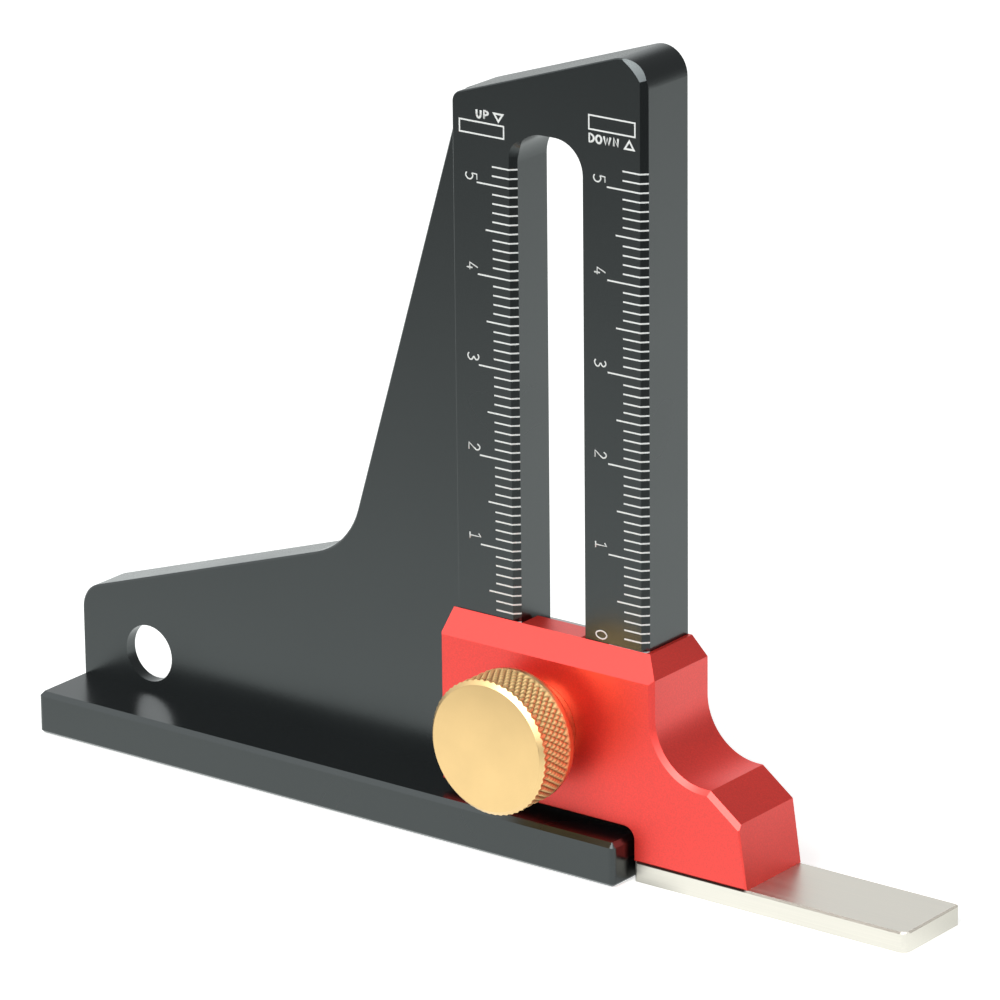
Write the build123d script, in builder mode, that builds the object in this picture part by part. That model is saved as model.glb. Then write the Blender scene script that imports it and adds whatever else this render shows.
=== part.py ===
"""Height gauge for setting saw blades and router bits.

A black anodised L-section frame stands on its own foot.  Its column carries two
engraved millimetre scales either side of a slot.  A red slider runs up the column,
carries a flat stainless tongue under its foot, and is locked by a brass knob whose
stud passes through the slot into a nut plate sliding in a channel on the back.

Units are millimetres.  X runs along the base towards the tongue's tip, Y runs away
from the scale side, Z is up.  The origin is the middle of the base's underside.
"""
import os
from math import asin, atan, cos, degrees, pi, radians, sin, sqrt, tan

from build123d import *

os.makedirs("parts", exist_ok=True)

# ---- base and upright plate ------------------------------------------------
base_length = 80.0
base_depth = 13.0
base_height = 4.9
base_top_chamfer = 0.5
base_bottom_chamfer = 0.3
base_corner_radius = 0.6
edge_break = 0.2

back_y = base_depth / 2
plate_thickness = 5.0
column_thickness = 7.5
plate_front_y = back_y - plate_thickness
column_front_y = back_y - column_thickness

base_left_x = -base_length / 2
wing_corner_z = 15.0
wing_corner_radius = 3.2
knee_point = (-1.5, 27.5)
knee_radius = 9.0
shoulder_point = (14.9, 81.6)
shoulder_radius = 1.8

# ---- column ----------------------------------------------------------------
column_left_x = 15.5
column_width = 24.9
column_right_x = column_left_x + column_width
column_top_left_z = 81.8
column_top_slope = 0.325
column_top_right_z = column_top_left_z + column_top_slope * column_width
column_left_corner_radius = 1.3
column_right_corner_radius = 3.0
scale_chamfer = 0.65
chamfer_tool_radius = 2.0
cutter_arc_radius = 6.5
cutter_arc_low_z = 86.6
cutter_arc_turn = 92.0
cutter_overrun = 10.0
slot_run_out_rise = 0.6

slot_width = 8.9
slot_centre_x = 28.0
slot_bottom_z = 8.9
slot_top_z = 79.0
slot_corner_radius = 3.6
channel_width = 13.0
channel_bottom_z = 6.0
channel_top_z = 81.0
channel_depth = 1.75
channel_corner_radius = 2.5
channel_floor_y = back_y - channel_depth

# ---- hanging hole in the wing ----------------------------------------------
hang_hole_x = -30.3
hang_hole_z = 9.1
hang_hole_radius = 3.3
hang_sink_radius = 6.85

# ---- slider ----------------------------------------------------------------
fit_gap = 0.05
slider_front_y = -3.5
slider_left_x = 15.05
slider_right_x = 42.95
slider_top_z = 24.85
slider_bottom_z = 5.9
slider_top_end_chamfer = 2.0
slider_reading_chamfer = 2.4
slider_outline_chamfer = 0.5
slider_edge_break = 0.15
foot_left_x = column_right_x + fit_gap
foot_right_x = 55.0
foot_corner_radius = 1.3
foot_shoulder = (53.95, 9.3)
foot_facet_top = (50.1, 12.2)
sweep_radius = 6.5
rib_depth = 2.8
rib_back_y = column_front_y + rib_depth
rib_top_chamfer = 0.5

# ---- tongue ----------------------------------------------------------------
tongue_thickness = 2.25
tongue_left_x = 40.5
tongue_right_x = 75.0
tongue_front_y = slider_front_y
tongue_width = 10.0
tongue_corner_radius = 1.0
tongue_back_corner_radius = 0.35
tongue_root_radius = 0.4
tongue_edge_break = 0.15
tongue_screw_x = (44.3, 50.7)
tongue_screw_y = 1.5

screw_hole_radius = 1.5
screw_shank_radius = 1.48
screw_tip_chamfer = 0.3
screw_length = 8.0
screw_head_radius = 2.9
screw_clearance_radius = 1.6
screw_recess = 0.15
screw_socket_radius = 1.15
screw_socket_depth = 1.1

# ---- clamp -----------------------------------------------------------------
knob_z = 15.0
knob_radius = 7.5
knob_face_radius = 7.0
knob_front_y = -12.75
knob_knurl_front_y = -12.2
knob_knurl_back_y = -7.2
knob_back_y = -6.5
knob_back_radius = 6.9
knob_hub_radius = 4.4
knob_bore_end_y = -11.0

washer_radius = 4.9
washer_bore_radius = 2.6
washer_thickness = 1.0
washer_back_y = slider_front_y - 0.03
washer_front_y = washer_back_y - washer_thickness

stud_radius = 2.48
stud_bore_radius = 2.53
stud_end_y = 6.1
stud_end_chamfer = 0.4

nut_plate_width = 12.8
nut_plate_height = 16.0
nut_plate_thickness = 1.6
nut_plate_corner_radius = 1.0
nut_plate_front_y = channel_floor_y + fit_gap
nut_boss_width = 8.7
nut_boss_height = 11.9
nut_boss_front_y = 2.1


def front_plane(y):
    """Plane facing the scale side at depth y, with sketch X and Y along X and Z."""
    return Plane.XZ.offset(-y)


def nearest(builder, x, z):
    """The sketch corner closest to a point."""
    return builder.vertices().sort_by_distance((x, z, 0))[0]


# ---------------------------------------------------------------------------
# gauge_frame: foot, upright plate and scale column milled from one blank
# ---------------------------------------------------------------------------
column_top_right = (column_right_x, column_top_right_z)

with BuildPart() as gauge_frame:
    with BuildSketch(front_plane(back_y)) as plate_outline:
        with BuildLine():
            Polyline(
                (base_left_x, 0),
                (base_left_x, wing_corner_z),
                knee_point,
                shoulder_point,
                column_top_right,
                (column_right_x, 0),
                close=True,
            )
        make_face()
        chamfer(plate_outline.vertices().group_by(Axis.Y)[0], base_bottom_chamfer)
        fillet(nearest(plate_outline, base_left_x, wing_corner_z), wing_corner_radius)
        fillet(nearest(plate_outline, *knee_point), knee_radius)
        fillet(nearest(plate_outline, *shoulder_point), shoulder_radius)
        fillet(nearest(plate_outline, *column_top_right), column_right_corner_radius)
    extrude(amount=plate_thickness)
    plate_face = gauge_frame.faces().filter_by(Axis.Y).sort_by(Axis.Y)[0]
    chamfer(plate_face.edges().filter_by(lambda e: e.center().Z > 1), edge_break)

    with BuildSketch(front_plane(back_y)) as column_outline:
        with BuildLine():
            Polyline(
                (column_left_x, 0),
                (column_left_x, column_top_left_z),
                column_top_right,
                (column_right_x, 0),
                close=True,
            )
        make_face()
        chamfer(nearest(column_outline, column_right_x, 0), base_bottom_chamfer)
        fillet(nearest(column_outline, column_left_x, column_top_left_z), column_left_corner_radius)
        fillet(nearest(column_outline, *column_top_right), column_right_corner_radius)
    extrude(amount=column_thickness)
    column_face = gauge_frame.faces().filter_by(Axis.Y).sort_by(Axis.Y)[0]
    fillet(column_face.edges().filter_by(lambda e: e.center().Z > 1), edge_break)

    # foot: the ledge in front of the plate, its edges broken above and below
    side_height = base_height - base_bottom_chamfer - base_top_chamfer
    foot_stages = (
        (0, base_bottom_chamfer, base_bottom_chamfer, -45),
        (base_bottom_chamfer, 0, side_height, 0),
        (base_height - base_top_chamfer, 0, base_top_chamfer, 45),
    )
    for stage_z, inset, stage_height, taper in foot_stages:
        with BuildSketch(Plane.XY.offset(stage_z)) as foot_outline:
            Rectangle(base_length - 2 * inset, base_depth - 2 * inset)
            fillet(foot_outline.vertices().group_by(Axis.Y)[0], base_corner_radius - inset)
        extrude(amount=stage_height, taper=taper)

    # slot for the slider's rib and the clamp, and the nut channel behind it
    slot_middle_z = (slot_bottom_z + slot_top_z) / 2
    with BuildSketch(front_plane(back_y)) as slot_outline:
        with Locations((slot_centre_x, slot_middle_z)):
            Rectangle(slot_width, slot_top_z - slot_bottom_z)
        fillet(slot_outline.vertices().group_by(Axis.Y)[-1], slot_corner_radius)
        fillet(slot_outline.vertices().group_by(Axis.Y)[0], slot_width / 2 - 0.01)
    extrude(amount=column_thickness, mode=Mode.SUBTRACT)
    channel_middle_z = (channel_bottom_z + channel_top_z) / 2
    with BuildSketch(front_plane(back_y)) as channel_outline:
        with Locations((slot_centre_x, channel_middle_z)):
            RectangleRounded(channel_width, channel_top_z - channel_bottom_z, channel_corner_radius)
    extrude(amount=channel_depth, mode=Mode.SUBTRACT)

    # the two scale edges: the slot's left edge and the column's right edge
    slot_left_x = slot_centre_x - slot_width / 2
    slot_edge_low_z = slot_bottom_z + slot_width / 2
    slot_edge_high_z = slot_top_z - slot_corner_radius + slot_run_out_rise
    for edge_x, low_z, high_z in (
        (slot_left_x, slot_edge_low_z, slot_edge_high_z),
        (column_right_x, base_height, column_top_right_z),
    ):
        with BuildSketch(Plane.XY.offset(low_z)):
            with BuildLine():
                Polyline(
                    (edge_x - scale_chamfer, column_front_y),
                    (edge_x + 0.5, column_front_y + scale_chamfer + 0.5),
                    (edge_x + 0.5, column_front_y - 0.5),
                    (edge_x - scale_chamfer, column_front_y - 0.5),
                    close=True,
                )
            make_face()
        extrude(amount=high_z - low_z, mode=Mode.SUBTRACT)

    # at both ends of the slot's edge the chamfer cutter leaves a round run-out
    tool_offset = chamfer_tool_radius - scale_chamfer
    cutter_lead = 0.2
    cutter_sink = 0.3
    with Locations(*[
        Plane(origin=(slot_left_x + tool_offset, column_front_y - cutter_lead, z), z_dir=(0, 1, 0))
        for z in (slot_edge_low_z, slot_edge_high_z)
    ]):
        Cone(
            chamfer_tool_radius + cutter_lead,
            tool_offset - cutter_sink,
            scale_chamfer + cutter_lead + cutter_sink,
            align=(Align.CENTER, Align.CENTER, Align.MIN),
            mode=Mode.SUBTRACT,
        )

    # round the column's corner it takes a wider arc than the corner's own, and so thins out
    turn = pi / 2 + atan(column_top_slope)
    corner_centre = Vector(
        column_right_x - column_right_corner_radius,
        column_top_right_z - column_right_corner_radius * tan(turn / 2),
    )
    arc_start = Vector(column_right_x - scale_chamfer, cutter_arc_low_z)
    arc_end = corner_centre + Vector(column_right_corner_radius, 0).rotate(Axis.Z, cutter_arc_turn)
    chord = arc_end - arc_start
    inward = Vector(-chord.Y, chord.X).normalized()
    arc_rise = sqrt(cutter_arc_radius**2 - (chord.length / 2) ** 2)
    arc_centre = (arc_start + arc_end) * 0.5 + inward * arc_rise
    start_angle = radians((arc_start - arc_centre).get_angle(Vector(1, 0)) - cutter_overrun)
    arc_span = degrees(2 * asin(chord.length / 2 / cutter_arc_radius)) + 2 * cutter_overrun
    arc_origin = (arc_centre.X, column_front_y, arc_centre.Y)
    section_plane = Plane(
        origin=arc_origin,
        x_dir=(cos(start_angle), 0, sin(start_angle)),
        z_dir=(-sin(start_angle), 0, cos(start_angle)),
    )
    with BuildSketch(section_plane):
        with BuildLine():
            Polyline(
                (cutter_arc_radius, 0),
                (cutter_arc_radius + 2, 2),
                (cutter_arc_radius + 2, -0.5),
                (cutter_arc_radius, -0.5),
                close=True,
            )
        make_face()
    revolve(axis=Axis(arc_origin, (0, -1, 0)), revolution_arc=arc_span, mode=Mode.SUBTRACT)

    # hanging hole, sunk from the back
    back_plane = Plane(origin=(hang_hole_x, back_y, hang_hole_z), x_dir=(1, 0, 0), z_dir=(0, 1, 0))
    with Locations(back_plane):
        CounterSinkHole(
            hang_hole_radius, hang_sink_radius, depth=plate_thickness, counter_sink_angle=90
        )

gauge_frame.part.label = "gauge_frame"
export_step(gauge_frame.part, "parts/gauge_frame.step")

# ---------------------------------------------------------------------------
# slider_block: wraps the column's front and right side, with a foot beyond it
# ---------------------------------------------------------------------------
with BuildPart() as slider_block:
    with BuildSketch(front_plane(back_y)) as slider_outline:
        with BuildLine():
            Polyline(
                (slider_left_x, slider_top_z),
                (slider_left_x, slider_bottom_z),
                (foot_left_x, slider_bottom_z),
                (foot_left_x, tongue_thickness),
                (foot_right_x, tongue_thickness),
                foot_shoulder,
                foot_facet_top,
                (slider_right_x + sweep_radius, foot_facet_top[1]),
            )
            RadiusArc(
                (slider_right_x + sweep_radius, foot_facet_top[1]),
                (slider_right_x, foot_facet_top[1] + sweep_radius),
                sweep_radius,
            )
            Polyline(
                (slider_right_x, foot_facet_top[1] + sweep_radius),
                (slider_right_x, slider_top_z - slider_top_end_chamfer),
                (slider_right_x - slider_top_end_chamfer, slider_top_z),
                (slider_left_x, slider_top_z),
            )
        make_face()
        fillet(nearest(slider_outline, foot_left_x, slider_bottom_z), foot_corner_radius)
    extrude(amount=back_y - slider_front_y)

    # pocket that the column stands in, open to the left, the back and both ends
    pocket_front_y = column_front_y - fit_gap
    with BuildSketch(Plane.XY.offset(tongue_thickness)):
        with BuildLine():
            Polyline(
                (slider_left_x, pocket_front_y),
                (foot_left_x, pocket_front_y),
                (foot_left_x, back_y),
                (slider_left_x, back_y),
                close=True,
            )
        make_face()
    extrude(amount=slider_top_z - tongue_thickness, mode=Mode.SUBTRACT)

    # rib that runs in the slot; its rounded lower end meets the slot's end at zero
    rib_width = slot_width - 2 * fit_gap
    rib_bottom_z = slot_bottom_z + fit_gap
    with BuildSketch(front_plane(rib_back_y)) as rib_outline:
        with Locations((slot_centre_x, (rib_bottom_z + slider_top_z) / 2)):
            Rectangle(rib_width, slider_top_z - rib_bottom_z)
        fillet(rib_outline.vertices().group_by(Axis.Y)[0], rib_width / 2 - 0.01)
        chamfer(rib_outline.vertices().group_by(Axis.Y)[-1], rib_top_chamfer)
    extrude(amount=rib_back_y - pocket_front_y)

    # sloping reading edge along the top of the front wall
    with BuildSketch(Plane.YZ.offset(slider_left_x)):
        with BuildLine():
            Polyline(
                (slider_front_y - 1, slider_top_z + 1),
                (slider_front_y - 1, slider_top_z - slider_reading_chamfer - 1),
                (slider_front_y + slider_reading_chamfer + 1, slider_top_z + 1),
                close=True,
            )
        make_face()
    extrude(amount=slider_right_x - slider_left_x, mode=Mode.SUBTRACT)

    # chamfer round the swept right-hand outline of the front face
    front_face = slider_block.faces().filter_by(Axis.Y).sort_by(Axis.Y)[0]
    swept_edges = front_face.edges().filter_by(
        lambda e: e.center().X > slider_right_x - 0.1 and e.center().Z > foot_shoulder[1]
    )
    chamfer(swept_edges, slider_outline_chamfer)
    front_face = slider_block.faces().filter_by(Axis.Y).sort_by(Axis.Y)[0]
    plain_edges = front_face.edges().filter_by(
        lambda e: e.center().Z < foot_shoulder[1] + 0.5 or e.center().X < slider_left_x + 0.1
    )
    chamfer(plain_edges, slider_edge_break)

    with Locations(Plane(origin=(slot_centre_x, slider_front_y, knob_z), z_dir=(0, -1, 0))):
        Hole(washer_bore_radius)
    with Locations(*[Plane(origin=(x, tongue_screw_y, tongue_thickness), z_dir=(0, 0, -1))
                     for x in tongue_screw_x]):
        Hole(screw_hole_radius, depth=screw_length - tongue_thickness + 0.8)
slider_block.part.label = "slider_block"
export_step(slider_block.part, "parts/slider_block.step")

# ---------------------------------------------------------------------------
# tongue_bar: flat measuring tongue under the foot
# ---------------------------------------------------------------------------
with BuildPart() as tongue_bar:
    with BuildSketch():
        with Locations((tongue_left_x, tongue_front_y)):
            Rectangle(tongue_right_x - tongue_left_x, tongue_width, align=(Align.MIN, Align.MIN))
    extrude(amount=tongue_thickness)
    tip_edges = tongue_bar.edges().filter_by(Axis.Z).group_by(Axis.X)[-1].sort_by(Axis.Y)
    fillet(tip_edges[0], tongue_corner_radius)
    fillet(tip_edges[-1], tongue_back_corner_radius)
    fillet(tongue_bar.edges().filter_by(Axis.Z).group_by(Axis.X)[0], tongue_root_radius)
    chamfer(tongue_bar.faces().sort_by(Axis.Z)[-1].edges(), tongue_edge_break)
    with Locations(*[Plane(origin=(x, tongue_screw_y, 0), z_dir=(0, 0, -1)) for x in tongue_screw_x]):
        CounterSinkHole(screw_clearance_radius, screw_head_radius, counter_sink_angle=90)
tongue_bar.part.label = "tongue_bar"
export_step(tongue_bar.part, "parts/tongue_bar.step")

# ---------------------------------------------------------------------------
# tongue_screws: countersunk socket screws from below
# ---------------------------------------------------------------------------
with BuildPart() as tongue_screws:
    for screw_x in tongue_screw_x:
        with BuildSketch(front_plane(tongue_screw_y)):
            with BuildLine():
                Polyline(
                    (screw_x, screw_recess),
                    (screw_x + screw_head_radius - screw_recess, screw_recess),
                    (screw_x + screw_shank_radius, screw_head_radius - screw_shank_radius),
                    (screw_x + screw_shank_radius, screw_length - screw_tip_chamfer),
                    (screw_x + screw_shank_radius - screw_tip_chamfer, screw_length),
                    (screw_x, screw_length),
                    close=True,
                )
            make_face()
        revolve(axis=Axis((screw_x, tongue_screw_y, 0), (0, 0, 1)))
        with BuildSketch(Plane.XY.offset(screw_recess)):
            with Locations((screw_x, tongue_screw_y)):
                RegularPolygon(screw_socket_radius, 6)
        extrude(amount=screw_socket_depth, mode=Mode.SUBTRACT)
tongue_screws.part.label = "tongue_screws"
export_step(tongue_screws.part, "parts/tongue_screws.step")

# ---------------------------------------------------------------------------
# clamp_knob: brass head, turned about the slot's centre line
# ---------------------------------------------------------------------------
knob_axis = Axis((slot_centre_x, 0, knob_z), (0, -1, 0))
knob_plane = Plane(origin=(slot_centre_x, 0, knob_z), x_dir=(1, 0, 0), z_dir=(0, 0, 1))

with BuildPart() as clamp_knob:
    with BuildSketch(knob_plane):
        with BuildLine():
            Polyline(
                (0, knob_front_y),
                (knob_face_radius, knob_front_y),
                (knob_radius, knob_knurl_front_y),
                (knob_radius, knob_knurl_back_y),
                (knob_back_radius, knob_back_y),
                (knob_hub_radius, knob_back_y),
                (knob_hub_radius, washer_front_y),
                (stud_radius, washer_front_y),
                (stud_radius, knob_bore_end_y),
                (0, knob_bore_end_y),
                close=True,
            )
        make_face()
    revolve(axis=knob_axis)
clamp_knob.part.label = "clamp_knob"
export_step(clamp_knob.part, "parts/clamp_knob.step")

with BuildPart() as clamp_stud:
    with BuildSketch(knob_plane):
        with BuildLine():
            Polyline(
                (0, knob_bore_end_y),
                (stud_radius, knob_bore_end_y),
                (stud_radius, stud_end_y - stud_end_chamfer),
                (stud_radius - stud_end_chamfer, stud_end_y),
                (0, stud_end_y),
                close=True,
            )
        make_face()
    revolve(axis=knob_axis)
clamp_stud.part.label = "clamp_stud"
export_step(clamp_stud.part, "parts/clamp_stud.step")

with BuildPart() as knob_washer:
    with BuildSketch(Plane(origin=(slot_centre_x, washer_back_y, knob_z), z_dir=(0, -1, 0))):
        Circle(washer_radius)
        Circle(washer_bore_radius, mode=Mode.SUBTRACT)
    extrude(amount=washer_thickness)
knob_washer.part.label = "knob_washer"
export_step(knob_washer.part, "parts/knob_washer.step")

# ---------------------------------------------------------------------------
# clamp_nut: plate that slides in the channel, with a boss keyed in the slot
# ---------------------------------------------------------------------------
with BuildPart() as clamp_nut:
    with BuildSketch(front_plane(nut_plate_front_y + nut_plate_thickness)):
        with Locations((slot_centre_x, knob_z)):
            RectangleRounded(nut_plate_width, nut_plate_height, nut_plate_corner_radius)
    extrude(amount=nut_plate_thickness)
    with BuildSketch(front_plane(nut_plate_front_y)) as boss_outline:
        with Locations((slot_centre_x, knob_z)):
            Rectangle(nut_boss_width, nut_boss_height)
        fillet(boss_outline.vertices().group_by(Axis.Y)[0], nut_boss_width / 2 - 0.01)
    extrude(amount=nut_plate_front_y - nut_boss_front_y)
    chamfer(clamp_nut.faces().sort_by(Axis.Y)[0].edges(), 0.3)
    with Locations(Plane(origin=(slot_centre_x, nut_boss_front_y, knob_z), z_dir=(0, -1, 0))):
        Hole(stud_bore_radius)
clamp_nut.part.label = "clamp_nut"
export_step(clamp_nut.part, "parts/clamp_nut.step")
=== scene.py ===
"""Dresses the height gauge: finishes, engraved scales, knurled knob and a small studio."""

from math import pi, radians

import bmesh
import bpy
from mathutils import Matrix, Vector


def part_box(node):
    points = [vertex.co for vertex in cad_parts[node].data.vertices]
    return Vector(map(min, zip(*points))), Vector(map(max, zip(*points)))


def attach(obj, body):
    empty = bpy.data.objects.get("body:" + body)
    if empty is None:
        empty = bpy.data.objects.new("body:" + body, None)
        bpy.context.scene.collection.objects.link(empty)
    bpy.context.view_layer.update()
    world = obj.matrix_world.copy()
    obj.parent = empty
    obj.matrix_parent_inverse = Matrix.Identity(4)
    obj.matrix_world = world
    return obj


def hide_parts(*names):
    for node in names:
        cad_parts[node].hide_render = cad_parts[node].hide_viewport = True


bl_info = {
    "name": "Height gauge dressing",
    "version": (1, 0, 0),
    "blender": (4, 5, 0),
    "location": "View3D > Sidebar > Gauge",
    "description": "Finishes, scale marks and knurled knob for a small setting gauge",
    "category": "Object",
}

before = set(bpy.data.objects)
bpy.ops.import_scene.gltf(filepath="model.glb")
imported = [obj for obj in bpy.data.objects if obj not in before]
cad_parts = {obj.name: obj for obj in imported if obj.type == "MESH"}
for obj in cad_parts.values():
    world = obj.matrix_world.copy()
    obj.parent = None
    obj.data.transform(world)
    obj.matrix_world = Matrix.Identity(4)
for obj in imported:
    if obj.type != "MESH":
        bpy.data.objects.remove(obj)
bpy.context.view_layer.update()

MM = 0.001
FRAME_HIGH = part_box("gauge_frame")[1]
KNOB_LOW, KNOB_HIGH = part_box("clamp_knob")
KNOB_CENTRE = (KNOB_LOW + KNOB_HIGH) / 2
COLUMN_FACE_Y = -1.0 * MM
SLOT_LEFT_X = 23.55 * MM
COLUMN_RIGHT_X = FRAME_HIGH.x
LAST_LINE = 52

# Depths below the knurl's crest where the painted groove shade is full and where it ends.
GROOVE_SHADE_FULL = 0.27 * MM
GROOVE_SHADE_END = 0.13 * MM

# The knob's heights are measured forwards along its axis, from the plane Y = 0.
KNURL_FRONT = 12.2 * MM
KNURL_LENGTH = 4.20 * MM
KNURL_ROWS = 7
KNURL_END_RADIUS = 7.36 * MM
KNURL_PEAK_BEVEL = 0.11 * MM
KNURL_FINISH_END = 7.67 * MM

# Radius and height, in millimetres, of the rings behind the knurl: rear rim, hub and bore.
KNOB_BACK_RINGS = (
    (7.37, 7.40), (7.32, 7.15), (7.23, 6.90), (7.08, 6.68), (6.9, 6.5),
    (4.4, 6.5), (4.4, 4.53), (2.49, 4.53), (2.49, 11.0),
)

CAMERA_PLACE = (0.416279, -0.519348, 0.258464)
CAMERA_LENS = 233.845
LAMP_PLACE = (0.03, -0.89, 0.79)
LAMP_AIM = (0.015, 0.0, 0.04)
FLOOR_DROP = 0.0001

# What reflections see of the floor: a glow of this strength, less these zones of painted shade. Each has a
# way to measure a point, what it is measured from, where the zone starts and is full, and what it takes
# away.
# The last three lie beside single features of the rest pose, and stay there in other poses.
FLOOR_STRENGTH = 1.45
FLOOR_SHADE_ZONES = (
    ("DOT_PRODUCT", (-0.6, -0.8, 0.0), 0.03, 0.24, 0.75),
    ("DOT_PRODUCT", (0.8, -0.6, 0.0), 0.06, 0.17, 1.10),
    ("DISTANCE", (0.0, 0.0, 0.0), 0.20, 1.00, 1.00),
    ("DISTANCE", (0.041, 0.001, 0.0), 0.008, 0.004, 0.90),
    ("DISTANCE", (0.064, 0.016, 0.0), 0.021, 0.008, 0.80),
    ("DISTANCE", (0.081, 0.006, 0.0), 0.007, 0.003, 0.12),
)

# What reflections see of the room: the sum of these patches. Each has a direction, the cosines
# at which the patch starts and is full, and its strength at each. The first holds the base level.
ROOM_PATCHES = (
    ((-0.57, -0.32, 0.75), 0.86, 0.97, 1.00, 1.60),
    ((0.15, -0.50, 0.85), 0.80, 0.97, 0.00, 4.00),
    ((0.62, -0.60, 0.51), 0.91, 0.97, 0.00, 2.20),
    ((0.32, 0.82, 0.47), 0.70, 0.88, 0.00, -0.70),
)


def length(name, description, default):
    """A size in metres, shown as a length."""
    return bpy.props.FloatProperty(
        name=name, description=description, default=default, unit="LENGTH", precision=5
    )


def colour(name, description, default):
    """A linear colour."""
    return bpy.props.FloatVectorProperty(
        name=name, description=description, default=default, subtype="COLOR",
        size=3, min=0.0, max=1.0,
    )


def share(name, description, default):
    """A number from 0 to 1."""
    return bpy.props.FloatProperty(
        name=name, description=description, default=default, subtype="FACTOR",
        min=0.0, max=1.0,
    )


class GaugeFinishSettings(bpy.types.PropertyGroup):
    """Colours and polish of the gauge's metals."""

    black: colour("Black anodising", "Colour of the frame", (0.0015, 0.0020, 0.0024))
    black_polish: share("Black roughness", "Roughness of the blasted frame", 0.25)
    red: colour("Red anodising", "Colour of the slider", (0.80, 0.028, 0.016))
    red_metal: share("Red metallic share", "How much bare metal shows through the dye", 0.60)
    red_polish: share("Red roughness", "Roughness of the blasted slider", 0.45)
    oxide: bpy.props.FloatProperty(
        name="Oxide index", description="Refractive index of the anodised layer", default=1.65
    )
    brass: colour("Brass", "Colour of the knob", (0.755, 0.515, 0.24))
    steel: colour("Stainless steel", "Colour of the tongue", (0.72, 0.675, 0.605))
    ink: colour("Scale marks", "Colour of the engraved marks", (0.80, 0.81, 0.79))


class GaugeScaleSettings(bpy.types.PropertyGroup):
    """The two millimetre scales on the column."""

    up_zero: length("Up zero", "Height of the left scale's zero line", 22.60 * MM)
    down_zero: length("Down zero", "Height of the right scale's zero line", 24.85 * MM)
    long_line: length("Centimetre line", "Length on the flat of a centimetre line", 4.20 * MM)
    middle_line: length("Half line", "Length on the flat of a half-centimetre line", 3.10 * MM)
    short_line: length("Millimetre line", "Length on the flat of a millimetre line", 2.20 * MM)
    line_width: length("Line width", "Width of an engraved line", 0.17 * MM)
    bevel_width: length("Edge bevel", "Width of the bevelled reading edge", 0.65 * MM)
    relief: length("Relief", "How far the marks stand off the face", 0.02 * MM)
    digit_height: length("Digit height", "Height of the scale digits", 1.45 * MM)


class GaugeKnobSettings(bpy.types.PropertyGroup):
    """The clamp knob."""

    radius: length("Radius", "Outer radius of the knurl", 7.50 * MM)
    face_radius: length("Face radius", "Radius of the flat face", 7.00 * MM)
    knurl_depth: length("Knurl depth", "Depth of the knurl's grooves", 0.27 * MM)
    knurl_teeth: bpy.props.IntProperty(
        name="Knurl teeth", description="Diamonds round the knob", default=60, min=24
    )


class GaugeStudioSettings(bpy.types.PropertyGroup):
    """Camera and floor."""

    yaw: bpy.props.FloatProperty(
        name="Camera turn", description="How far the camera stands to the right",
        default=radians(37.307), subtype="ANGLE",
    )
    pitch: bpy.props.FloatProperty(
        name="Camera tilt", description="How far the camera looks down",
        default=radians(18.685), subtype="ANGLE",
    )
    roll: bpy.props.FloatProperty(
        name="Camera roll", description="Roll of the camera about its view",
        default=radians(-0.594), subtype="ANGLE",
    )
    floor: colour("Floor", "Colour of floor and backdrop", (0.86, 0.86, 0.85))


# ---------------------------------------------------------------------------
# helpers
# ---------------------------------------------------------------------------
def make_piece(name, shape, body, slot, *materials):
    """Turns a bmesh into a named piece that rides on one body of the gauge."""
    mesh = bpy.data.meshes.new(name)
    shape.to_mesh(mesh)
    shape.free()
    for material in materials:
        mesh.materials.append(material)
    piece = bpy.data.objects.new(name, mesh)
    bpy.context.scene.collection.objects.link(piece)
    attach(piece, body)
    return piece


def dress(node, material):
    """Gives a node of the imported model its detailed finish."""
    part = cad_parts[node]
    part.data.materials.clear()
    part.data.materials.append(material)


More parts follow.
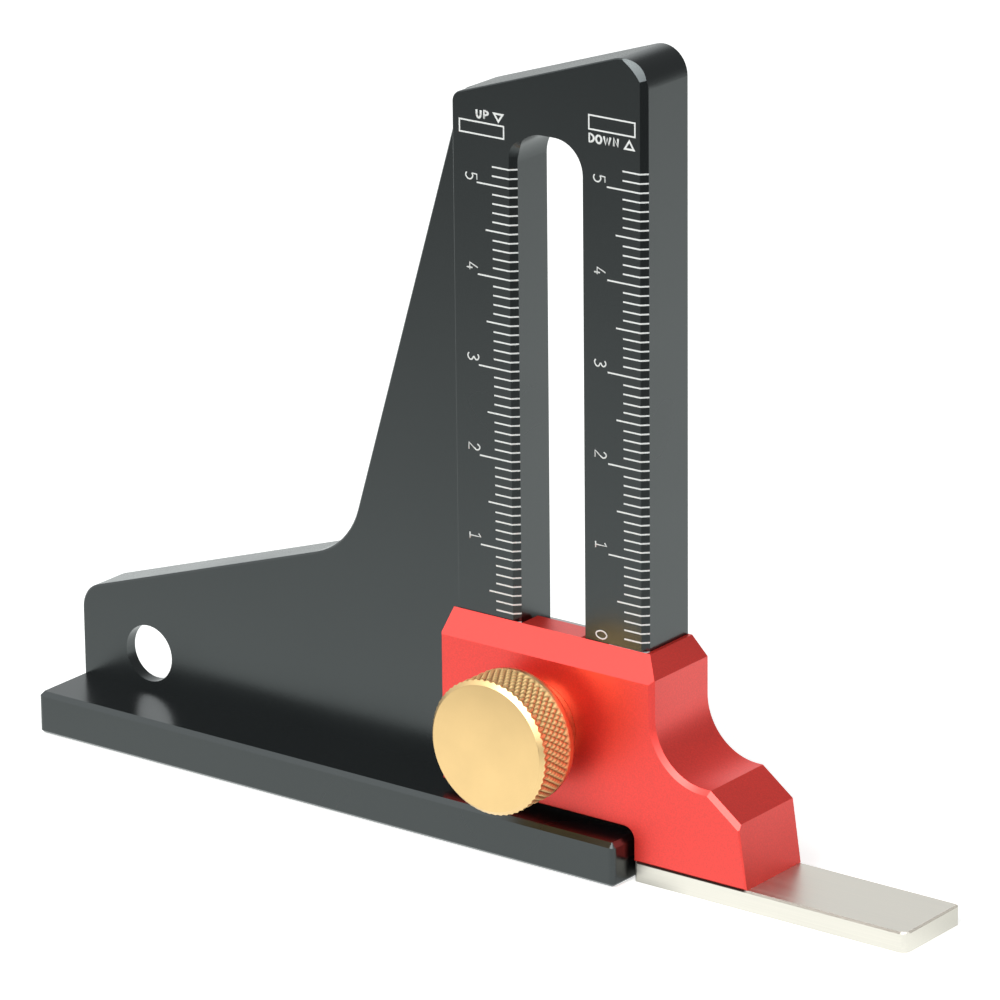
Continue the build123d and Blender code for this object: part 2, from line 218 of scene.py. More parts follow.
class Finish:
    """A material under construction, with short calls for the nodes that it needs."""

    def __init__(self, name, **sockets):
        self.material = bpy.data.materials.new(name)
        self.material.use_nodes = True
        self.tree = self.material.node_tree
        self.tree.nodes.clear()
        self.output = self.node("ShaderNodeOutputMaterial")
        self.shader = self.node("ShaderNodeBsdfPrincipled", **sockets)
        self.link(self.shader.outputs["BSDF"], self.output.inputs["Surface"])
        self.place = self.node("ShaderNodeTexCoord").outputs["Object"]

    def node(self, kind, **sockets):
        """Adds a node; sockets are set by name, with _ for a space."""
        made = self.tree.nodes.new(kind)
        for socket, value in sockets.items():
            made.inputs[socket.replace("_", " ")].default_value = value
        return made

    def link(self, out, into):
        """Joins two sockets."""
        self.tree.links.new(out, into)

    def mapped(self, centre=(0, 0, 0), stretch=(1, 1, 1)):
        """Object coordinates, stretched and moved."""
        mapping = self.node("ShaderNodeMapping", Location=centre, Scale=stretch)
        self.link(self.place, mapping.inputs["Vector"])
        return mapping.outputs["Vector"]

    def noise(self, scale, detail=2.0, vector=None):
        """Value of a noise at scale, in features per metre."""
        texture = self.node("ShaderNodeTexNoise", Scale=scale, Detail=detail)
        self.link(vector or self.place, texture.inputs["Vector"])
        return texture.outputs["Fac"]

    def along(self, direction, measure="DOT_PRODUCT"):
        """How far a point lies along a direction, or another measure of the two."""
        measured = self.node("ShaderNodeVectorMath")
        measured.operation = measure
        measured.inputs[1].default_value = direction
        self.link(self.place, measured.inputs[0])
        return measured.outputs["Value"]

    def reach(self, centre):
        """Distance from the line along Y through a centre."""
        place = self.mapped(centre=(-centre.x, 0.0, -centre.z), stretch=(1.0, 0.0, 1.0))
        away = self.node("ShaderNodeVectorMath")
        away.operation = "LENGTH"
        self.link(place, away.inputs[0])
        return away.outputs["Value"]

    def spread(self, value, low, high, start=0.3, end=0.7):
        """Maps start..end of a value onto low..high."""
        ramp = self.node("ShaderNodeMapRange", From_Min=start, From_Max=end, To_Min=low, To_Max=high)
        self.link(value, ramp.inputs["Value"])
        return ramp.outputs["Result"]

    def tint(self, factor, first, second):
        """Mixes two colours by a factor."""
        ramp = self.node("ShaderNodeValToRGB")
        ramp.color_ramp.elements[0].color = (*first, 1.0)
        ramp.color_ramp.elements[1].color = (*second, 1.0)
        self.link(factor, ramp.inputs["Fac"])
        return ramp.outputs["Color"]

    def math(self, operation, first, second):
        """Result of an operation on two values, each a socket or a number."""
        worked = self.node("ShaderNodeMath")
        worked.operation = operation
        for value, socket in zip((first, second), worked.inputs):
            if isinstance(value, float):
                socket.default_value = value
            else:
                self.link(value, socket)
        return worked.outputs[0]

    def bump(self, height, strength, depth):
        """Raises the surface by a height, depth metres at full strength."""
        bump = self.node("ShaderNodeBump", Strength=strength, Distance=depth)
        self.link(height, bump.inputs["Height"])
        self.link(bump.outputs["Normal"], self.shader.inputs["Normal"])


def times(base, factor):
    """A colour made lighter or darker."""
    return tuple(min(1.0, part * factor) for part in base)


# ---------------------------------------------------------------------------
# finishes
# ---------------------------------------------------------------------------
def black_anodising(settings):
    """Bead-blasted black anodising: fine grain, slightly uneven sheen."""
    finish = Finish("black_anodising", IOR=settings.oxide, Specular_Tint=(0.93, 1.0, 1.0, 1.0))
    base = tuple(settings.black)
    grain = finish.noise(5500.0, 3.0)
    finish.link(
        finish.tint(finish.spread(grain, 0.0, 1.0), times(base, 0.75), times(base, 1.35)),
        finish.shader.inputs["Base Color"],
    )
    sheen = finish.noise(55.0, 2.0)
    finish.link(
        finish.spread(sheen, settings.black_polish - 0.03, settings.black_polish + 0.03),
        finish.shader.inputs["Roughness"],
    )
    finish.bump(grain, 0.25, 0.02 * MM)
    return finish.material


def red_anodising(settings):
    """Bead-blasted red anodising: dyed metal with a fine sparkle."""
    finish = Finish(
        "red_anodising", Metallic=settings.red_metal, IOR=settings.oxide,
        Coat_Weight=0.8 * settings.red_metal, Coat_IOR=settings.oxide, Coat_Roughness=0.38,
    )
    base = tuple(settings.red)
    grain = finish.noise(5500.0, 3.0)
    finish.link(
        finish.tint(finish.spread(grain, 0.0, 1.0), times(base, 0.90), times(base, 1.08)),
        finish.shader.inputs["Base Color"],
    )
    sheen = finish.noise(70.0, 2.0)
    finish.link(
        finish.spread(sheen, settings.red_polish - 0.03, settings.red_polish + 0.03),
        finish.shader.inputs["Roughness"],
    )
    finish.bump(grain, 0.21, 0.03 * MM)
    return finish.material


def brushed_steel(settings):
    """Stainless strip with lengthwise brushing, dull edges that are darkened, and painted shade along the
    joint under the slider.
    """
    finish = Finish("brushed_stainless", Metallic=1.0)
    base = tuple(settings.steel)
    strokes = finish.noise(60.0, 4.0, finish.mapped(stretch=(1.0, 110.0, 110.0)))
    front_edge = finish.spread(finish.along((0.0, -1.0, 1.0)), 0.0, 1.0, 5.50 * MM, 5.58 * MM)
    end_edge = finish.spread(finish.along((1.0, 0.0, 1.0)), 0.0, 1.0, 77.02 * MM, 77.08 * MM)
    # Painted shade: the front top edge gets a dark red-brown colour in full under the slider, where the
    # joint lies in shade, and in part beyond it; the end's top edge is darkened too.
    front_edge_shade_share = finish.spread(finish.along((1.0, 0.0, 0.0)), 1.0, 0.42, 54.6 * MM, 55.0 * MM)
    joint_shade_and_dark_edges = finish.node("ShaderNodeMixRGB", Color2=(0.035, 0.016, 0.014, 1.0))
    end_edge_darkening = finish.math("MULTIPLY", end_edge, 0.35)
    finish.link(
        finish.math("MAXIMUM", finish.math("MULTIPLY", front_edge, front_edge_shade_share), end_edge_darkening), joint_shade_and_dark_edges.inputs["Fac"]
    )
    finish.link(
        finish.tint(finish.spread(strokes, 0.0, 1.0), times(base, 0.96), times(base, 1.03)),
        joint_shade_and_dark_edges.inputs["Color1"],
    )
    finish.link(joint_shade_and_dark_edges.outputs["Color"], finish.shader.inputs["Base Color"])
    dull = finish.math("MULTIPLY", finish.math("MAXIMUM", front_edge, end_edge), 0.50)
    finish.link(
        finish.math("ADD", finish.spread(strokes, 0.34, 0.46), dull), finish.shader.inputs["Roughness"]
    )
    finish.bump(strokes, 0.10, 0.01 * MM)
    return finish.material


def turned_brass(settings, centre):
    """Satin brass with faint turning rings round the knob's axis."""
    finish = Finish("turned_brass", Metallic=1.0)
    base = tuple(settings.brass)
    rings = finish.node("ShaderNodeTexNoise", Scale=9000.0, Detail=2.0)
    rings.noise_dimensions = "1D"
    finish.link(finish.reach(centre), rings.inputs["W"])
    cloud = finish.noise(260.0, 3.0)
    finish.link(
        finish.tint(finish.spread(cloud, 0.0, 1.0), times(base, 0.97), times(base, 1.03)),
        finish.shader.inputs["Base Color"],
    )
    finish.link(finish.spread(rings.outputs["Fac"], 0.30, 0.40), finish.shader.inputs["Roughness"])
    finish.bump(rings.outputs["Fac"], 0.12, 0.008 * MM)
    return finish.material


def knurled_brass(settings, centre, crest):
    """Rougher brass in the knurl, with painted shade in the grooves and a painted highlight on the crests.
    """
    finish = Finish("knurled_brass", Metallic=1.0)
    red, green, blue = settings.brass
    grain = finish.noise(3200.0, 3.0)
    # Painted shade and highlight: the colour darkens towards the grooves' roots and is lighter than the
    # brass on the crests.
    crest_lit_share = finish.spread(finish.reach(centre), 0.0, 1.0, crest - GROOVE_SHADE_FULL, crest - GROOVE_SHADE_END)
    groove_shade_colour = (0.46 * red, 0.43 * green, 0.38 * blue)
    crest_highlight_colour = (1.32 * red, 1.34 * green, 1.36 * blue)
    finish.link(finish.tint(crest_lit_share, groove_shade_colour, crest_highlight_colour), finish.shader.inputs["Base Color"])
    finish.link(finish.spread(grain, 0.46, 0.56), finish.shader.inputs["Roughness"])
    finish.bump(grain, 0.2, 0.02 * MM)
    return finish.material


def plain_metal(name, base, roughness):
    """A plain machined metal with a fine uneven grain, for the small parts."""
    finish = Finish(name, Metallic=1.0)
    grain = finish.noise(2600.0, 3.0)
    finish.link(
        finish.tint(finish.spread(grain, 0.0, 1.0), times(base, 0.90), times(base, 1.05)),
        finish.shader.inputs["Base Color"],
    )
    finish.link(finish.spread(grain, roughness - 0.05, roughness + 0.05), finish.shader.inputs["Roughness"])
    finish.bump(grain, 0.15, 0.01 * MM)
    return finish.material


def engraved_white(settings):
    """Matt off-white of a laser mark."""
    finish = Finish("engraved_white")
    base = tuple(settings.ink)
    grain = finish.noise(6000.0, 2.0)
    finish.link(
        finish.tint(finish.spread(grain, 0.0, 1.0), times(base, 0.92), times(base, 1.04)),
        finish.shader.inputs["Base Color"],
    )
    finish.link(finish.spread(grain, 0.6, 0.8), finish.shader.inputs["Roughness"])
    return finish.material


class HEIGHTGAUGE_OT_finishes(bpy.types.Operator):
    """Give every part of the gauge its own metal finish"""

    bl_idname = "height_gauge.finishes"
    bl_label = "Metal finishes"

    def execute(self, context):
        """Builds the materials and assigns them to the parts."""
        settings = context.scene.gauge_finish
        dress("slider_block", red_anodising(settings))
        dress("gauge_frame", black_anodising(settings))
        dress("tongue_bar", brushed_steel(settings))
        dress("tongue_screws", plain_metal("screw_steel", (0.42, 0.41, 0.40), 0.35))
        dress("clamp_stud", plain_metal("stud_steel", (0.50, 0.49, 0.47), 0.32))
        dress("knob_washer", plain_metal("washer_brass", times(tuple(settings.brass), 0.9), 0.35))
        dress("clamp_nut", plain_metal("nut_steel", (0.46, 0.45, 0.44), 0.38))
        dress("clamp_knob", turned_brass(settings, KNOB_CENTRE))
        return {"FINISHED"}


# ---------------------------------------------------------------------------
# scale marks
# ---------------------------------------------------------------------------
def draw_line(shape, points, width):
    """A flat line through points, its width along Z, made by growing one edge along them."""
    half = Vector((0.0, 0.0, width / 2))
    pair = [shape.verts.new(points[0] - half), shape.verts.new(points[0] + half)]
    edge = shape.edges.new(pair)
    for here, there in zip(points, points[1:]):
        grown = bmesh.ops.extrude_edge_only(shape, edges=[edge])["geom"]
        ends = [part for part in grown if isinstance(part, bmesh.types.BMVert)]
        bmesh.ops.translate(shape, verts=ends, vec=there - here)
        edge = next(
            part for part in grown
            if isinstance(part, bmesh.types.BMEdge) and set(part.verts) == set(ends)
        )


def thicken(shape, relief):
    """Turns flat marks on the face into thin slabs, half sunk in the metal."""
    bmesh.ops.recalc_face_normals(shape, faces=shape.faces)
    for face in shape.faces:
        if face.normal.y > 0:
            face.normal_flip()
    bmesh.ops.solidify(shape, geom=list(shape.faces), thickness=2 * relief)


def scale_lines(settings, zero, edge_x, zero_drop=0.0):
    """A column of millimetre lines that end on the bevelled edge at edge_x.

    zero_drop lowers the zero line alone; the others stay at their true millimetre.
    """
    shape = bmesh.new()
    out = settings.relief
    for step in range(LAST_LINE + 1):
        reach = settings.short_line
        if step % 10 == 0:
            reach = settings.long_line
        elif step % 5 == 0:
            reach = settings.middle_line
        z = zero + step * MM - (zero_drop if step == 0 else 0.0)
        bend_x = edge_x - settings.bevel_width
        bend = Vector((bend_x, COLUMN_FACE_Y - out, z))
        tip = Vector((edge_x + out * 0.7, COLUMN_FACE_Y + settings.bevel_width - out * 0.7, z))
        start = Vector((bend_x - reach, COLUMN_FACE_Y - out, z))
        draw_line(shape, [start, bend, tip], settings.line_width)
    thicken(shape, out)
    return shape


class HEIGHTGAUGE_OT_scale_lines(bpy.types.Operator):
    """Engrave the two millimetre scales"""

    bl_idname = "height_gauge.scale_lines"
    bl_label = "Scale lines"

    def execute(self, context):
        """Builds one piece for each scale."""
        settings = context.scene.gauge_scale
        ink = engraved_white(context.scene.gauge_finish)
        make_piece("up_scale_lines", scale_lines(settings, settings.up_zero, SLOT_LEFT_X),
                   "frame", "black_anodised", ink)
        flush = settings.line_width / 2
        make_piece("down_scale_lines", scale_lines(settings, settings.down_zero, COLUMN_RIGHT_X, flush),
                   "frame", "black_anodised", ink)
        return {"FINISHED"}


# Each sign is drawn with an engraver's strokes in a cell one unit high: a smooth
# stroke starts with True, a straight one with False, then come its points.
STROKES = {
    "0": ((True, (0.27, 1.0), (0.52, 0.76), (0.52, 0.24), (0.27, 0.0), (0.02, 0.24),
           (0.02, 0.76), (0.27, 1.0)),),
    "1": ((False, (0.05, 0.80), (0.28, 1.0), (0.28, 0.0)), (False, (0.04, 0.0), (0.52, 0.0))),
    "2": ((True, (0.03, 0.78), (0.26, 1.0), (0.49, 0.76), (0.36, 0.46)),
          (False, (0.36, 0.46), (0.02, 0.0), (0.53, 0.0))),
    "3": ((True, (0.04, 0.90), (0.27, 1.0), (0.48, 0.77), (0.24, 0.54)),
          (True, (0.24, 0.54), (0.53, 0.28), (0.26, 0.0), (0.02, 0.10))),
    "4": ((False, (0.32, 1.0), (0.01, 0.27), (0.54, 0.27)), (False, (0.39, 0.52), (0.39, 0.0))),
    "5": ((False, (0.49, 1.0), (0.08, 1.0), (0.06, 0.56)),
          (True, (0.06, 0.56), (0.28, 0.63), (0.53, 0.33), (0.27, 0.0), (0.02, 0.08))),
    "U": ((True, (0.04, 0.34), (0.30, 0.0), (0.56, 0.34)), (False, (0.04, 1.0), (0.04, 0.34)),
          (False, (0.56, 1.0), (0.56, 0.34))),
    "P": ((False, (0.04, 0.0), (0.04, 1.0), (0.30, 1.0)),
          (True, (0.30, 1.0), (0.54, 0.74), (0.30, 0.46)), (False, (0.30, 0.46), (0.04, 0.46))),
    "D": ((False, (0.24, 1.0), (0.04, 1.0), (0.04, 0.0), (0.24, 0.0)),
          (True, (0.24, 0.0), (0.54, 0.28), (0.54, 0.72), (0.24, 1.0))),
    "O": ((True, (0.29, 1.0), (0.56, 0.74), (0.56, 0.26), (0.29, 0.0), (0.02, 0.26),
           (0.02, 0.74), (0.29, 1.0)),),
    "W": ((False, (0.0, 1.0), (0.20, 0.0), (0.40, 0.85), (0.60, 0.0), (0.80, 1.0)),),
    "N": ((False, (0.04, 0.0), (0.04, 1.0), (0.54, 0.0), (0.54, 1.0)),),
}


def lettering(text, height, stroke, gap, relief, widen=1.0):
    """Engraved strokes for a text as a mesh, its lower left corner at the origin, facing up."""
    curve = bpy.data.curves.new("lettering", "CURVE")
    curve.dimensions = "3D"
    curve.bevel_depth = stroke / height / 2
    curve.bevel_resolution = 1
    curve.resolution_u = 5
    curve.use_fill_caps = True
    along = 0.0
    for sign in text:
        reach = max(x for smooth, *points in STROKES[sign] for x, y in points)
        for smooth, *points in STROKES[sign]:
            spline = curve.splines.new("BEZIER")
            spline.bezier_points.add(len(points) - 1)
            for knot, (x, y) in zip(spline.bezier_points, points):
                knot.co = (along + x, y, 0.0)
                knot.handle_left_type = knot.handle_right_type = "AUTO" if smooth else "VECTOR"
        along += reach + gap
    holder = bpy.data.objects.new("lettering", curve)
    bpy.context.scene.collection.objects.link(holder)
    bpy.context.view_layer.update()
    mesh = bpy.data.meshes.new_from_object(holder)
    bpy.data.objects.remove(holder)
    bpy.data.curves.remove(curve)
    shape = bmesh.new()
    shape.from_mesh(mesh)
    bpy.data.meshes.remove(mesh)
    bmesh.ops.remove_doubles(shape, verts=shape.verts, dist=1e-5)
    flatten = 2 * relief / stroke
    bmesh.ops.scale(shape, verts=shape.verts, vec=(height * widen, height, height * flatten))
    bmesh.ops.recalc_face_normals(shape, faces=shape.faces)
    return shape


def put_on_face(shape, x, z, quarter_turn=False):
    """Stands lettering on the column's face at x, z; a quarter turn tips its top to the right."""
    stand = Matrix.Rotation(pi / 2, 4, "X")
    turn = Matrix.Rotation(-pi / 2, 4, "Z") if quarter_turn else Matrix.Identity(4)
    place = Matrix.Translation((x, COLUMN_FACE_Y, z))
    bmesh.ops.transform(shape, matrix=place @ stand @ turn, verts=shape.verts)


def join_shapes(shapes):
    """Several bmeshes as one."""
    whole = bmesh.new()
    for shape in shapes:
        mesh = bpy.data.meshes.new("part")
        shape.to_mesh(mesh)
        shape.free()
        whole.from_mesh(mesh)
        bpy.data.meshes.remove(mesh)
    return whole


class HEIGHTGAUGE_OT_scale_digits(bpy.types.Operator):
    """Number the centimetre lines of both scales"""

    bl_idname = "height_gauge.scale_digits"
    bl_label = "Scale digits"

    def execute(self, context):
        """Builds one piece of digits for each scale."""
        settings = context.scene.gauge_scale
        ink = engraved_white(context.scene.gauge_finish)
        for name, zero, edge_x, lead, rises in (
            ("up_scale_digits", settings.up_zero, SLOT_LEFT_X, 1.45 * MM,
             {1: 1.20, 2: 1.20, 3: 1.20, 4: 1.14, 5: 0.98}),
            ("down_scale_digits", settings.down_zero, COLUMN_RIGHT_X, 1.70 * MM,
             {0: 1.22, 1: 1.22, 2: 1.22, 3: 1.22, 4: 1.20, 5: 1.14}),
        ):
            left = edge_x - settings.bevel_width - settings.long_line - lead
            shapes = []
            for number, rise in rises.items():
                digit = lettering(str(number), settings.digit_height, settings.line_width,
                                  0.0, settings.relief)
                top_z = zero + (10 * number + rise) * MM
                put_on_face(digit, left, top_z, quarter_turn=True)
                shapes.append(digit)
            make_piece(name, join_shapes(shapes), "frame", "black_anodised", ink)
        return {"FINISHED"}


def outline(shape, points, width):
    """A closed outline of even width on the column's face."""
    corners = [shape.verts.new((x * MM, COLUMN_FACE_Y, z * MM)) for x, z in points]
    face = shape.faces.new(corners)
    shape.normal_update()
    bmesh.ops.inset_region(shape, faces=[face], thickness=width,
                           use_boundary=True, use_even_offset=True)
    bmesh.ops.delete(shape, geom=[face], context="FACES_ONLY")


class HEIGHTGAUGE_OT_direction_signs(bpy.types.Operator):
    """Mark which way each scale is read"""

    bl_idname = "height_gauge.direction_signs"
    bl_label = "Direction signs"

    def execute(self, context):
        """Builds the bar, the arrow and the word above each scale."""
        settings = context.scene.gauge_scale
        ink = engraved_white(context.scene.gauge_finish)
        line = settings.line_width
        for name, bar, arrow, word, at in (
            ("up_sign", ((16.42, 77.75), (22.36, 77.75), (22.36, 79.25), (16.42, 79.25)),
             ((20.84, 80.50), (21.60, 79.42), (22.36, 80.50)), "UP", (18.72, 79.62)),
            ("down_sign", ((33.20, 80.62), (39.22, 80.62), (39.22, 82.28), (33.20, 82.28)),
             ((37.66, 79.20), (39.18, 79.20), (38.42, 80.36)), "DOWN", (33.28, 79.34)),
        ):
            shape = bmesh.new()
            outline(shape, bar, line)
            outline(shape, arrow, 1.2 * line)
            bmesh.ops.translate(shape, verts=shape.verts, vec=(0, -settings.relief, 0))
            thicken(shape, settings.relief)
            letters = lettering(word, 0.86 * MM, 0.23 * MM, 0.36, settings.relief, 1.22)
            put_on_face(letters, at[0] * MM, at[1] * MM)
            make_piece(name, join_shapes([shape, letters]), "frame", "black_anodised", ink)
        return {"FINISHED"}


# ---------------------------------------------------------------------------
# knurled knob
# ---------------------------------------------------------------------------
class HEIGHTGAUGE_OT_knurled_knob(bpy.types.Operator):
    """Turn the clamp knob with its diamond knurl"""

    bl_idname = "height_gauge.knurled_knob"
    bl_label = "Knurled knob"

    def execute(self, context):
        """Grows the knob ring by ring from its front face, then closes its bore."""
        settings = context.scene.gauge_knob
        teeth = settings.knurl_teeth
        crest = settings.radius
        root = crest - settings.knurl_depth
        front = -KNOB_LOW.y
        shape = bmesh.new()
        bmesh.ops.create_circle(shape, cap_ends=True, segments=2 * teeth,
                                radius=settings.face_radius - 0.12 * MM)
        bmesh.ops.translate(shape, verts=shape.verts, vec=(0, 0, front))
        ring = [edge for edge in shape.edges if edge.is_boundary]
        knurl_faces = []

        def grow(even, odd=None, knurl=False):
            """Extrudes the open ring and puts its verts at (radius, height), even and odd."""
            nonlocal ring
            grown = bmesh.ops.extrude_edge_only(shape, edges=ring)["geom"]
            verts = [part for part in grown if isinstance(part, bmesh.types.BMVert)]
            fresh = [part for part in grown if isinstance(part, bmesh.types.BMFace)]
            chosen = set(verts)
            ring = [part for part in grown if isinstance(part, bmesh.types.BMEdge)
                    and part.verts[0] in chosen and part.verts[1] in chosen]
            for vert in verts:
                flat = vert.co.xy.normalized()
                step = round(flat.angle_signed(Vector((1, 0))) / (pi / teeth))
                radius, height = even if step % 2 == 0 else (odd or even)
                vert.co = (flat.x * radius, flat.y * radius, height)
            if knurl:
                knurl_faces.extend(fresh)

        grow((settings.face_radius, front - 0.03 * MM))
        shallow = 0.45 * settings.knurl_depth
        edge_front = KNURL_FRONT + 1.1 * shallow
        grow((crest, KNURL_FRONT), (crest - shallow, edge_front))
        pitch = KNURL_LENGTH / KNURL_ROWS
        for row in range(1, KNURL_ROWS + 1):
            height = KNURL_FRONT - row * pitch
            peak, groove = (crest, height), (root, height)
            if row % 2:
                grow(groove, peak, knurl=True)
            else:
                grow(peak, groove, knurl=True)
        grow((KNURL_END_RADIUS, KNURL_FRONT - (KNURL_ROWS + 0.5) * pitch), knurl=True)
        for radius, height in KNOB_BACK_RINGS:
            grow((radius * MM, height * MM))
        bmesh.ops.contextual_create(shape, geom=ring)

        for face in knurl_faces:
            low = sorted(face.verts, key=lambda vert: vert.co.xy.length)[:2]
            if low[1].co.xy.length < crest - 0.1 * MM and not set(low) & set(
                link.other_vert(low[0]) for link in low[0].link_edges if face in link.link_faces
            ) - {low[0]}:
                bmesh.utils.face_split(face, low[0], low[1])
        peaks = [vert for vert in shape.verts
                 if vert.co.xy.length > crest - 1e-6 and vert.co.z < KNURL_FRONT - 0.1 * MM]
        bmesh.ops.bevel(shape, geom=peaks, offset=KNURL_PEAK_BEVEL, offset_type="OFFSET",
                        segments=1, profile=0.5, material=-1, affect="VERTICES")
        bmesh.ops.recalc_face_normals(shape, faces=shape.faces)
        for face in shape.faces:
            middle = face.calc_center_median()
            in_band = KNURL_FINISH_END < middle.z < edge_front - 0.12 * MM
            face.material_index = 1 if in_band and middle.xy.length > root - 0.05 * MM else 0
            face.smooth = True
        for edge in shape.edges:
            if all(face.material_index == 1 for face in edge.link_faces):
                edge.smooth = max(vert.co.xy.length for vert in edge.verts) > root + 0.03 * MM
            else:
                edge.smooth = edge.calc_face_angle(0.0) < radians(20)
        centre = KNOB_CENTRE
        place = Matrix.Translation((centre.x, 0.0, centre.z)) @ Matrix.Rotation(pi / 2, 4, "X")
        bmesh.ops.transform(shape, matrix=place, verts=shape.verts)
        finish = context.scene.gauge_finish
        knob = make_piece("knurled_knob", shape, "knob", "knob_brass",
                          turned_brass(finish, centre), knurled_brass(finish, centre, crest))
        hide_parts("clamp_knob")
        return {"FINISHED"}


# ---------------------------------------------------------------------------
# stage
# ---------------------------------------------------------------------------
def soft_box(name, place, aim, size, power):
    """A square area lamp at place, aimed at a point."""
    lamp = bpy.data.lights.new(name, "AREA")
    lamp.shape = "SQUARE"
    lamp.size = size
    lamp.energy = power
    holder = bpy.data.objects.new(name, lamp)
    bpy.context.scene.collection.objects.link(holder)
    holder.location = place
    direction = Vector(aim) - Vector(place)
    holder.rotation_euler = direction.to_track_quat("-Z", "Y").to_euler()


def paper_floor(settings):
    """Pale paper, white to the camera, that shows reflections a glow of its own strength, less zones of
    painted shade.
    """
    finish = Finish("studio_floor", Roughness=0.9)
    finish.shader.inputs["Base Color"].default_value = (*settings.floor, 1.0)
    finish.shader.inputs["Specular IOR Level"].default_value = 0.0
    path = finish.node("ShaderNodeLightPath")
    level = FLOOR_STRENGTH
    # Painted shade: each zone dims the floor's glow as reflections see it, in place of shadow that the glow
    # does not receive.
    for measure, direction, near, far, drop in FLOOR_SHADE_ZONES:
        shade_loss = finish.spread(finish.along(direction, measure), 0.0, drop, near, far)
        level = finish.math("SUBTRACT", level, shade_loss)
    level = finish.math("MAXIMUM", level, 0.15)
    mirror = finish.node("ShaderNodeEmission", Color=(0.95, 1.0, 0.99, 1.0))
    finish.link(level, mirror.inputs["Strength"])
    glow = finish.node("ShaderNodeEmission", Color=(1.0, 1.0, 0.99, 1.0))
    seen = finish.math("MAXIMUM", path.outputs["Is Camera Ray"], path.outputs["Is Transmission Ray"])
    finish.link(finish.math("MULTIPLY", seen, 0.62), glow.inputs["Strength"])
    lit = finish.node("ShaderNodeAddShader")
    finish.link(finish.shader.outputs["BSDF"], lit.inputs[0])
    finish.link(glow.outputs["Emission"], lit.inputs[1])
    both = finish.node("ShaderNodeMixShader")
    finish.link(path.outputs["Is Glossy Ray"], both.inputs["Fac"])
    finish.link(lit.outputs["Shader"], both.inputs[1])
    finish.link(mirror.outputs["Emission"], both.inputs[2])
    finish.link(both.outputs["Shader"], finish.output.inputs["Surface"])
    return finish.material


def studio_world():
    """White to the camera, while reflections see the patches and other light a dim, even room."""
    world = bpy.data.worlds.new("studio_world")
    world.use_nodes = True
    nodes, links = world.node_tree.nodes, world.node_tree.links
    nodes.clear()

    def node(kind, **sockets):
        made = nodes.new(kind)
        for socket, value in sockets.items():
            made.inputs[socket.replace("_", " ")].default_value = value
        return made

    place = node("ShaderNodeTexCoord").outputs["Generated"]
    path = node("ShaderNodeLightPath")
    level = None
    for direction, near, far, low, high in ROOM_PATCHES:
        along = node("ShaderNodeVectorMath")
        along.operation = "DOT_PRODUCT"
        along.inputs[1].default_value = direction
        links.new(place, along.inputs[0])
        patch = node("ShaderNodeMapRange", From_Min=near, From_Max=far, To_Min=low, To_Max=high)
        links.new(along.outputs["Value"], patch.inputs["Value"])
        if level is None:
            level = patch.outputs["Result"]
        else:
            both = node("ShaderNodeMath")
            links.new(level, both.inputs[0])
            links.new(patch.outputs["Result"], both.inputs[1])
            level = both.outputs[0]
    strength = node("ShaderNodeMapRange", To_Min=0.45)
    links.new(path.outputs["Is Glossy Ray"], strength.inputs["Value"])
    links.new(level, strength.inputs["To Max"])
    room = node("ShaderNodeBackground", Color=(0.95, 0.99, 1.0, 1.0))
    links.new(strength.outputs["Result"], room.inputs["Strength"])
    white = node("ShaderNodeBackground", Color=(1.0, 1.0, 0.99, 1.0))
    mix = node("ShaderNodeMixShader")
    links.new(path.outputs["Is Camera Ray"], mix.inputs["Fac"])
    links.new(room.outputs[0], mix.inputs[1])
    links.new(white.outputs[0], mix.inputs[2])
    links.new(mix.outputs[0], node("ShaderNodeOutputWorld").inputs["Surface"])
    return world


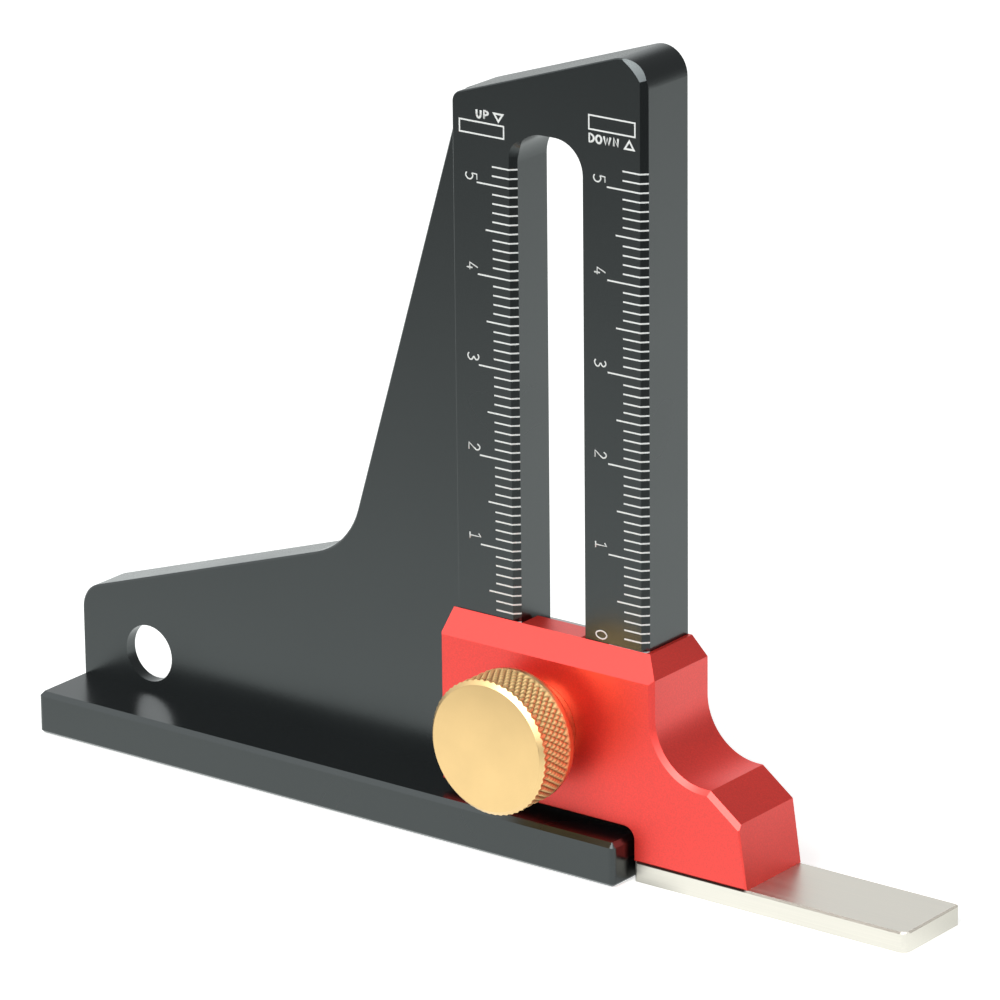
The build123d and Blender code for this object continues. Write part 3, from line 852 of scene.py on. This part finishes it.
class HEIGHTGAUGE_OT_studio(bpy.types.Operator):
    """Set up the camera, the pale floor and soft light"""

    bl_idname = "height_gauge.studio"
    bl_label = "Studio"

    def execute(self, context):
        """Builds camera, floor, world and the lamp."""
        settings = context.scene.gauge_studio
        lens = bpy.data.cameras.new("studio_camera")
        lens.sensor_width = 36.0
        lens.lens = CAMERA_LENS
        lens.clip_start = 0.01
        lens.clip_end = 20.0
        camera = bpy.data.objects.new("studio_camera", lens)
        context.scene.collection.objects.link(camera)
        camera.matrix_world = (
            Matrix.Translation(CAMERA_PLACE)
            @ Matrix.Rotation(settings.yaw, 4, "Z")
            @ Matrix.Rotation(pi / 2 - settings.pitch, 4, "X")
            @ Matrix.Rotation(settings.roll, 4, "Z")
        )
        context.scene.camera = camera

        shape = bmesh.new()
        bmesh.ops.create_grid(shape, x_segments=1, y_segments=1, size=3.0)
        mesh = bpy.data.meshes.new("studio_floor")
        shape.to_mesh(mesh)
        shape.free()
        floor = bpy.data.objects.new("studio_floor", mesh)
        context.scene.collection.objects.link(floor)
        floor.location.z = -FLOOR_DROP
        mesh.materials.append(paper_floor(settings))
        context.scene.world = studio_world()

        soft_box("key_lamp", LAMP_PLACE, LAMP_AIM, 0.70, 8.6)
        context.scene.view_settings.view_transform = "Standard"
        return {"FINISHED"}


STEPS = (
    HEIGHTGAUGE_OT_studio,
    HEIGHTGAUGE_OT_finishes,
    HEIGHTGAUGE_OT_knurled_knob,
    HEIGHTGAUGE_OT_scale_lines,
    HEIGHTGAUGE_OT_scale_digits,
    HEIGHTGAUGE_OT_direction_signs,
)


class HEIGHTGAUGE_PT_panel(bpy.types.Panel):
    """Lists the gauge's dressing steps and their settings"""

    bl_idname = "HEIGHTGAUGE_PT_panel"
    bl_label = "Height gauge"
    bl_space_type = "VIEW_3D"
    bl_region_type = "UI"
    bl_category = "Gauge"

    def draw(self, context):
        """Shows each step as a button and each setting under it."""
        for step in STEPS:
            self.layout.operator(step.bl_idname)
        for group in ("gauge_finish", "gauge_scale", "gauge_knob", "gauge_studio"):
            settings = getattr(context.scene, group)
            column = self.layout.column(align=True)
            for name in settings.__annotations__:
                column.prop(settings, name)


GROUPS = {
    "gauge_finish": GaugeFinishSettings,
    "gauge_scale": GaugeScaleSettings,
    "gauge_knob": GaugeKnobSettings,
    "gauge_studio": GaugeStudioSettings,
}


def register():
    """Adds the settings, the operators and the panel."""
    for name, group in GROUPS.items():
        bpy.utils.register_class(group)
        setattr(bpy.types.Scene, name, bpy.props.PointerProperty(type=group))
    for step in STEPS:
        bpy.utils.register_class(step)
    bpy.utils.register_class(HEIGHTGAUGE_PT_panel)


def unregister():
    """Takes them away again."""
    bpy.utils.unregister_class(HEIGHTGAUGE_PT_panel)
    for step in reversed(STEPS):
        bpy.utils.unregister_class(step)
    for name, group in GROUPS.items():
        delattr(bpy.types.Scene, name)
        bpy.utils.unregister_class(group)


def main():
    """Runs every step in order."""
    register()
    bpy.ops.height_gauge.studio()
    bpy.ops.height_gauge.finishes()
    bpy.ops.height_gauge.knurled_knob()
    bpy.ops.height_gauge.scale_lines()
    bpy.ops.height_gauge.scale_digits()
    bpy.ops.height_gauge.direction_signs()


if __name__ == "__main__":
    main()
